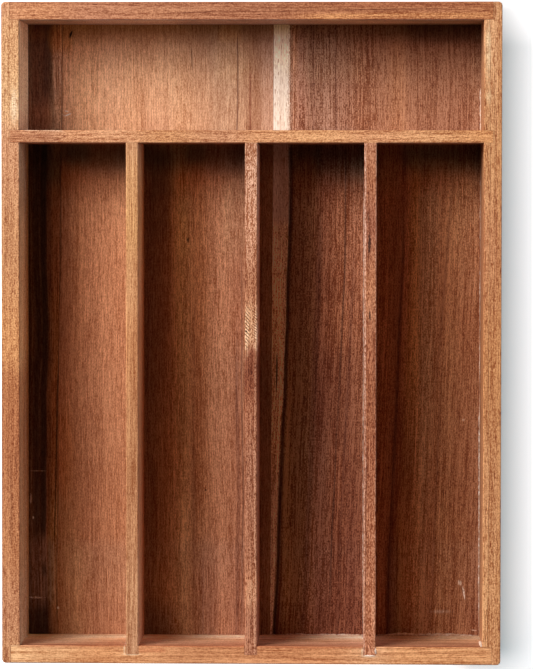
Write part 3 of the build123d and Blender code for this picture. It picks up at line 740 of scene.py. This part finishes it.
def filledSurface(name, finish):
    # a fine mottle between two colours, with a little of it in the gloss and the bump
    material = bpy.data.materials.new(name)
    material.use_nodes = True
    tree = material.node_tree
    tree.nodes.clear()
    coords = addNode(tree, "ShaderNodeTexCoord").outputs["Object"]
    inputs = {"Vector": coords, "Scale": 1 / (finish["mottle"] * millimetre), "Detail": 3.0}
    mottle = addNode(tree, "ShaderNodeTexNoise", None, inputs).outputs[0]
    share = addNode(tree, "ShaderNodeMapRange", None, {"Value": mottle, "From Min": 0.35, "From Max": 0.65}).outputs[0]
    pale, dark = (toLinear(colour) for colour in finish["colours"])
    colour = addNode(tree, "ShaderNodeMix", {"data_type": "RGBA"}, {0: share, 6: pale, 7: dark}).outputs[2]
    limits = {"Value": mottle, "To Min": finish["roughness"] - 0.12, "To Max": finish["roughness"] + 0.12}
    rough = addNode(tree, "ShaderNodeMapRange", None, limits).outputs[0]
    inputs = {"Strength": 0.5, "Distance": finish["bump"] * millimetre, "Height": mottle}
    bump = addNode(tree, "ShaderNodeBump", None, inputs).outputs[0]
    inputs = {"Base Color": colour, "Roughness": rough, "IOR": finish["ior"], "Normal": bump}
    surface = addNode(tree, "ShaderNodeBsdfPrincipled", None, inputs).outputs[0]
    addNode(tree, "ShaderNodeOutputMaterial", None, {0: surface})
    return material


# Wood putty over the pins, pressed into the holes and sanded flush: dead matt, fine and even,
# a shade redder than the wood round it
woodPutty = {"colours": ("#b57b55", "#94593a"), "mottle": 0.35, "roughness": 0.8, "ior": 1.45, "bump": 0.02}
puttyPlugs = {"pinRadius": 0.6, "pinSink": 0.5, "radius": 0.64, "depth": 0.46, "crown": 0.04, "sides": 20}


def pinEnds():
    # where each pin starts, and which way is out of the wood
    low, high = (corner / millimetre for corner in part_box("corner_pins"))
    inset, sink = puttyPlugs["pinRadius"], puttyPlugs["pinSink"]
    for x, out in ((low.x - sink, -1), (high.x + sink, 1)):
        for y in (low.y + inset, high.y - inset):
            for z in (low.z + inset, high.z - inset):
                yield Vector((x, y, z)), Vector((out, 0, 0))
    low, high = (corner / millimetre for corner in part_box("divider_pins"))
    for x in (low.x + inset, (low.x + high.x) / 2, high.x - inset):
        for z in (low.z + inset, high.z - inset):
            yield Vector((x, high.y + sink, z)), Vector((0, 1, 0))


def makePuttyPlugs():
    shape = bmesh.new()
    for mouth, out in pinEnds():
        turn = out.to_track_quat("Z", "Y").to_matrix().to_4x4()
        bottom = Matrix.Translation(mouth - out * puttyPlugs["depth"]) @ turn
        made = bmesh.ops.create_circle(shape, cap_ends=True, segments=puttyPlugs["sides"],
                                       radius=puttyPlugs["radius"], matrix=bottom)
        drawn = bmesh.ops.extrude_face_region(shape, geom=[made["verts"][0].link_faces[0]])["geom"]
        verts = [part for part in drawn if isinstance(part, bmesh.types.BMVert)]
        faces = [part for part in drawn if isinstance(part, bmesh.types.BMFace)]
        bmesh.ops.translate(shape, verts=verts, vec=out * puttyPlugs["depth"])
        bmesh.ops.inset_region(shape, faces=faces, thickness=puttyPlugs["radius"] * 0.45, use_even_offset=True)
        crown = {vert for face in faces for vert in face.verts}
        bmesh.ops.translate(shape, verts=list(crown), vec=out * puttyPlugs["crown"])
    return finishPiece("pin_putty", shape, filledSurface("sandedWoodPutty", woodPutty))


makePuttyPlugs()
print("putty over the pins")


# Wood glue squeezed out along the feet of the walls and the ends of the dividers. Dried and
# rubbed, it is a thin broken line, pale and dusty, with a faint shine where it is thick.
driedGlue = {"colours": ("#f6e2cf", "#cfa283"), "mottle": 1.2, "roughness": 0.5, "ior": 1.45, "bump": 0.08}
glueBeads = {"sides": 8, "step": 1.5, "seed": 7}
glueRuns = [
    {"from": (115.5, -155.8, 7.0), "to": (115.5, -32.0, 7.0), "radius": 0.62, "uneven": 0.5},
    {"from": (115.5, -32.0, 7.0), "to": (115.5, 84.0, 7.0), "radius": 0.34, "uneven": 0.7},
    {"from": (115.5, 101.8, 7.0), "to": (115.5, 124.0, 7.0), "radius": 0.5, "uneven": 0.5},
    {"from": (4.0, -155.9, 7.0), "to": (56.0, -155.9, 7.0), "radius": 0.36, "uneven": 0.9},
    {"from": (63.0, -155.9, 7.0), "to": (115.3, -155.9, 7.0), "radius": 0.42, "uneven": 0.9},
    {"from": (70.0, -155.4, 7.0), "to": (108.0, -155.6, 7.0), "radius": 0.6, "uneven": 0.9},
    {"from": (56.0, -155.9, 10.0), "to": (56.0, -155.9, 22.0), "radius": 0.8, "uneven": 0.3},
    {"from": (56.0, -155.6, 7.0), "to": (56.0, 84.0, 7.0), "radius": 0.28, "uneven": 0.5},
    {"from": (115.1, -155.9, 34.0), "to": (115.2, -155.7, 54.4), "radius": 0.8, "uneven": 0.4},
    {"from": (111.4, -153.2, 7.0), "to": (114.6, -153.5, 7.0), "radius": 0.22, "uneven": 0.6},
    {"from": (62.2, -156.6, 54.9), "to": (62.4, -160.0, 54.9), "radius": 0.42, "uneven": 0.4},
    {"from": (56.4, -160.4, 54.9), "to": (62.4, -160.5, 54.9), "radius": 0.3, "uneven": 0.6},
]


def layBead(shape, run, chance):
    # a small ring drawn along the corner step by step, thick and thin, and fine at both ends
    start, end = Vector(run["from"]), Vector(run["to"])
    steps = max(4, round((end - start).length / glueBeads["step"]))
    turn = (end - start).to_track_quat("Z", "Y").to_matrix().to_4x4()
    radius = 0.15 * run["radius"]
    made = bmesh.ops.create_circle(shape, cap_ends=True, segments=glueBeads["sides"], radius=radius,
                                   matrix=Matrix.Translation(start) @ turn)
    face = made["verts"][0].link_faces[0]
    for i in range(1, steps + 1):
        drawn = bmesh.ops.extrude_face_region(shape, geom=[face])["geom"]
        verts = [part for part in drawn if isinstance(part, bmesh.types.BMVert)]
        face = next(part for part in drawn if isinstance(part, bmesh.types.BMFace))
        bmesh.ops.translate(shape, verts=verts, vec=(end - start) / steps)
        wanted = run["radius"] * min(1.0, 2.5 * math.sin(math.pi * i / steps) + 0.15)
        wanted *= 1 + run["uneven"] * chance.uniform(-1.0, 0.6)
        here = Matrix.Translation(-(start + (end - start) * i / steps))
        bmesh.ops.scale(shape, verts=verts, vec=(wanted / radius,) * 3, space=here)
        radius = wanted


def makeGlueBeads():
    shape = bmesh.new()
    chance = random.Random(glueBeads["seed"])
    for run in glueRuns:
        layBead(shape, run, chance)
    return finishPiece("dried_glue", shape, filledSurface("driedWoodGlue", driedGlue))


makeGlueBeads()
print("dried glue along the walls")


# Studio: white floor, soft key from the upper left, low fill from the right
studio = {"floorSize": 6.0, "floorDrop": 0.0002, "floorWhite": 0.9, "glowShaded": "#7a9298", "glowOpen": "#ffffff"}
# the floor keeps the tray's shadow on the right, and its glow fades to full white round it
shadowZone = {"left": (88.0, 112.0), "right": (150.0, 230.0), "front": (-300.0, -160.0), "rear": (145.0, 180.0)}
lamps = {
    "keyLow": {"azimuth": 295, "elevation": 35, "distance": 1.6, "size": (0.8, 0.8), "level": 0.70},
    "keyHigh": {"azimuth": 310, "elevation": 45, "distance": 1.6, "size": (0.8, 0.8), "level": 0.80},
    "fillRight": {"azimuth": 80, "elevation": 30, "distance": 1.3, "size": (0.6, 0.5), "level": 0.38,
                  "colour": "#dfeaff"},
    "fillFront": {"azimuth": 180, "elevation": 6, "distance": 1.3, "size": (0.8, 0.2), "level": 0.30,
                  "colour": "#dfeaff"},
    "floorShadow": {"azimuth": 270, "elevation": 86.2, "distance": 1.3, "size": (0.435, 0.435), "level": 0.84,
                    "colour": "#fff6f6", "floorOnly": True},
}


def floorMaterial():
    # white paper: it shows the tray's shadow, and glows a little to the camera so that the rest is white
    material = bpy.data.materials.new("whitePaperSweep")
    material.use_nodes = True
    tree = material.node_tree
    tree.nodes.clear()
    white = (studio["floorWhite"],) * 3 + (1.0,)
    paper = addNode(tree, "ShaderNodeBsdfDiffuse", None, {"Color": white}).outputs[0]
    coords = addNode(tree, "ShaderNodeTexCoord").outputs["Object"]
    axes = addNode(tree, "ShaderNodeSeparateXYZ", None, {0: coords}).outputs
    zone = None
    for i, side in enumerate(("left", "right", "front", "rear")):
        low, high = (place * millimetre for place in shadowZone[side])
        limits = {"Value": axes[i // 2], "From Min": low, "From Max": high}
        limits["To Min"], limits["To Max"] = (0.0, 1.0) if side in ("left", "front") else (1.0, 0.0)
        edge = addNode(tree, "ShaderNodeMapRange", None, limits).outputs[0]
        if zone is None:
            zone = edge
        else:
            zone = addNode(tree, "ShaderNodeMath", {"operation": "MULTIPLY"}, {0: zone, 1: edge}).outputs[0]
    inputs = {0: zone, 6: toLinear(studio["glowOpen"]), 7: toLinear(studio["glowShaded"])}
    glow = addNode(tree, "ShaderNodeMix", {"data_type": "RGBA"}, inputs).outputs[2]
    seen = addNode(tree, "ShaderNodeLightPath").outputs["Is Camera Ray"]
    light = addNode(tree, "ShaderNodeEmission", None, {"Color": glow, "Strength": seen}).outputs[0]
    both = addNode(tree, "ShaderNodeAddShader", None, {0: paper, 1: light}).outputs[0]
    addNode(tree, "ShaderNodeOutputMaterial", None, {0: both})
    return material


def makeFloor():
    mesh = bpy.data.meshes.new("floor")
    shape = bmesh.new()
    bmesh.ops.create_grid(shape, x_segments=1, y_segments=1, size=studio["floorSize"] / 2)
    bmesh.ops.translate(shape, verts=shape.verts, vec=(0, 0, -studio["floorDrop"]))
    shape.to_mesh(mesh)
    shape.free()
    mesh.materials.append(floorMaterial())
    floor = bpy.data.objects.new("floor", mesh)
    bpy.context.scene.collection.objects.link(floor)
    return floor


def makeLamp(name, lamp, floorGroup, otherGroup):
    azimuth, elevation = math.radians(lamp["azimuth"]), math.radians(lamp["elevation"])
    towards = Vector((math.sin(azimuth) * math.cos(elevation), math.cos(azimuth) * math.cos(elevation),
                      math.sin(elevation)))
    light = bpy.data.lights.new(name, "AREA")
    light.shape = "RECTANGLE"
    light.size, light.size_y = lamp["size"]
    light.color = toLinear(lamp.get("colour", "#ffffff"))[:3]
    light.energy = math.pi ** 2 * lamp["distance"] ** 2 * lamp["level"]
    holder = bpy.data.objects.new(name, light)
    bpy.context.scene.collection.objects.link(holder)
    holder.rotation_mode = "QUATERNION"
    holder.rotation_quaternion = towards.to_track_quat("Z", "Y")
    holder.location = towards * lamp["distance"]
    holder.light_linking.receiver_collection = floorGroup if lamp.get("floorOnly") else otherGroup


def lightGroups(floor):
    # one group holds the floor alone, and the other everything but the floor
    only = bpy.data.collections.new("floorOnly")
    only.objects.link(floor)
    apart = bpy.data.collections.new("allButFloor")
    apart.objects.link(floor)
    apart.collection_objects[0].light_linking.link_state = "EXCLUDE"
    return only, apart


def makeWorld():
    world = bpy.data.worlds.new("studio")
    world.use_nodes = True
    tree = world.node_tree
    tree.nodes.clear()
    seen = addNode(tree, "ShaderNodeLightPath").outputs["Is Camera Ray"]
    strength = addNode(tree, "ShaderNodeMapRange", None, {"Value": seen, "To Min": 0.028, "To Max": 1.0}).outputs[0]
    white = (1.0, 1.0, 1.0, 1.0)
    sky = addNode(tree, "ShaderNodeBackground", None, {"Color": white, "Strength": strength}).outputs[0]
    addNode(tree, "ShaderNodeOutputWorld", None, {0: sky})
    bpy.context.scene.world = world


floor = makeFloor()
floorGroup, otherGroup = lightGroups(floor)
for name, lamp in lamps.items():
    makeLamp(name, lamp, floorGroup, otherGroup)
makeWorld()
print("studio ready")


# Camera: a long lens nearly straight above, a little to the right and to the rear of the middle
camera = {
    "place": (54.87, 62.52, 1795.12),
    "turn": (2.063, -1.554, -0.059),
    "focalPixels": 3500.0,
    "imageHeight": 669.0,
    "sensor": 36.0,
}


def makeCamera():
    data = bpy.data.cameras.new("camera")
    data.sensor_width = camera["sensor"]
    data.lens = camera["focalPixels"] / camera["imageHeight"] * camera["sensor"]
    data.clip_end = 20.0
    holder = bpy.data.objects.new("camera", data)
    bpy.context.scene.collection.objects.link(holder)
    x, y, z = (math.radians(angle) for angle in camera["turn"])
    worldToCamera = Matrix.Rotation(x, 3, "X") @ Matrix.Rotation(y, 3, "Y") @ Matrix.Rotation(z, 3, "Z")
    place = Vector(camera["place"]) * millimetre
    holder.matrix_world = Matrix.Translation(place) @ worldToCamera.transposed().to_4x4()
    bpy.context.scene.camera = holder


makeCamera()
bpy.context.scene.view_settings.view_transform = "Standard"
print("camera ready")
